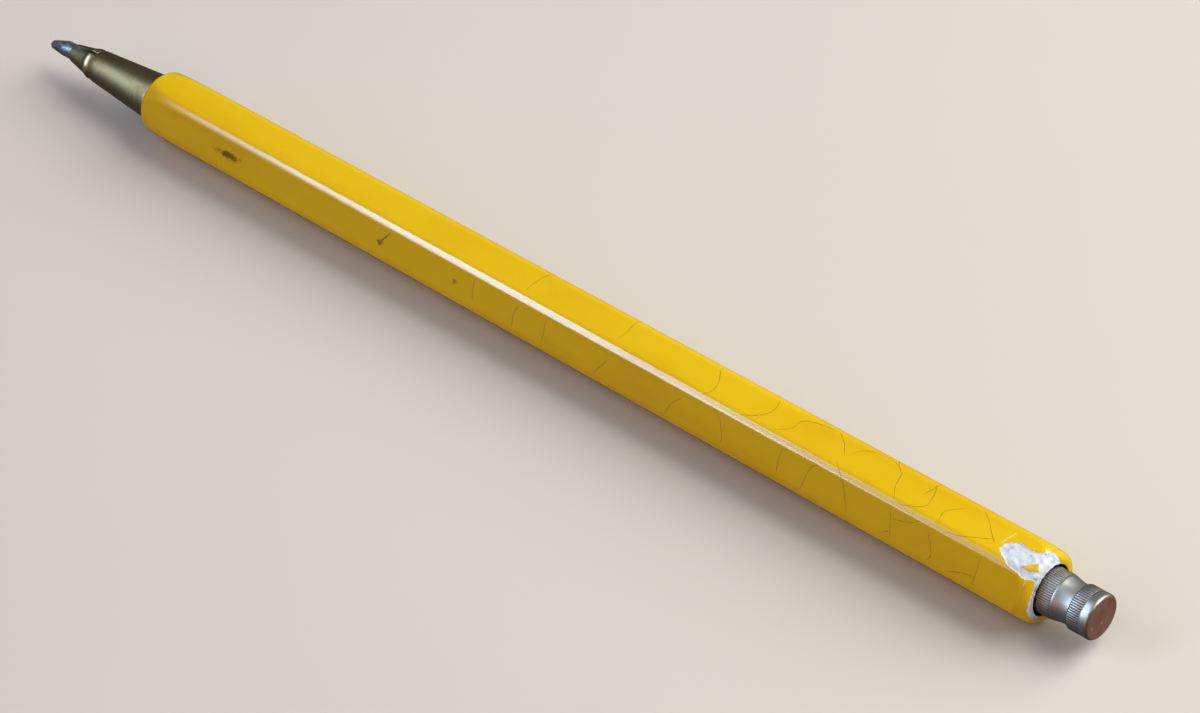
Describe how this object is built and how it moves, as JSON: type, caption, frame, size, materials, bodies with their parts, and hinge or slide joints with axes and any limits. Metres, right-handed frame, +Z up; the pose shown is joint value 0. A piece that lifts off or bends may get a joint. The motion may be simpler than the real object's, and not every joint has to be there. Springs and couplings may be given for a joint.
{
  "type": "clutch pencil",
  "caption": "Hexagonal lacquered clutch pencil with a metal nose cone, sprung three-jaw clutch, 2 mm lead and knurled push button.",
  "frame": {"origin": "under the middle of the pencil, on the flat that it lies on", "axes": "+X along the pencil from the lead's point to the push button, +Z up from the flat it lies on, +Y across, towards a rounded corner of the hexagon"},
  "size_m": [0.1588, 0.0086, 0.0078],
  "materials": {
    "yellow_lacquer": "wood under a white ground coat and thick gloss yellow nitro lacquer, crazed and chipped",
    "brass_tube": "drawn brass tube, dull",
    "turned_brass": "turned brass, satin",
    "bronzed_brass": "turned brass with an olive-bronze patina, satin",
    "worn_nickel": "dull nickel plate on brass, knurled, worn to brass on its edges",
    "spring_steel": "drawn spring wire, oiled",
    "hard_steel": "hardened steel, ground",
    "graphite": "fired graphite and clay, burnished to a grey sheen"
  },
  "bodies": {
    "barrel": {"barrel_casing": "yellow_lacquer", "barrel_liner": "brass_tube", "front_bush": "turned_brass", "nose_cone": "bronzed_brass", "rear_guide_bush": "turned_brass", "spring_seat_washer": "turned_brass", "return_spring": "spring_steel"},
    "spring_carrier": {"spring_washer": "turned_brass"},
    "plunger": {"spring_collar": "turned_brass", "lead_tube": "brass_tube", "collet_sleeve": "bronzed_brass", "tube_end_sleeve": "worn_nickel"},
    "jaw_1": {"jaw_1": "bronzed_brass"},
    "jaw_2": {"jaw_2": "bronzed_brass"},
    "jaw_3": {"jaw_3": "bronzed_brass"},
    "lead": {"lead": "graphite"},
    "button": {"push_button": "worn_nickel", "button_snap_ring": "spring_steel", "lead_pointer": "hard_steel"}
  },
  "joints": [
    {"name": "button_push", "type": "slide", "parent": "barrel", "child": "spring_carrier", "axis": [-1, 0, 0], "range_m": [0, 0.0035], "stiffness_N_per_m": 600, "springref_m": -0.005, "deforming": ["return_spring"]},
    {"name": "plunger_turn", "type": "hinge", "parent": "spring_carrier", "child": "plunger", "pos_m": [0, 0, 0.0039], "axis": [1, 0, 0], "continuous": true},
    {"name": "jaw_1_open", "type": "hinge", "parent": "plunger", "child": "jaw_1", "pos_m": [-0.057, 0.00108, 0.00453], "axis": [0, 0.5, -0.866], "range_deg": [0, 1.6]},
    {"name": "jaw_2_open", "type": "hinge", "parent": "plunger", "child": "jaw_2", "pos_m": [-0.057, -0.00108, 0.00453], "axis": [0, 0.5, 0.866], "range_deg": [0, 1.6]},
    {"name": "jaw_3_open", "type": "hinge", "parent": "plunger", "child": "jaw_3", "pos_m": [-0.057, 0, 0.00265], "axis": [0, -1, 0], "range_deg": [0, 1.6]},
    {"name": "lead_feed", "type": "slide", "parent": "plunger", "child": "lead", "axis": [-1, 0, 0], "range_m": [-0.0036, 0.04]},
    {"name": "button_pull", "type": "slide", "parent": "plunger", "child": "button", "axis": [1, 0, 0], "range_m": [0, 0.01]}
  ],
  "couplings": [
    {"joint": "jaw_1_open", "follows": "button_push", "rad_per_m": 7.5},
    {"joint": "jaw_2_open", "follows": "button_push", "rad_per_m": 7.5},
    {"joint": "jaw_3_open", "follows": "button_push", "rad_per_m": 7.5}
  ]
}
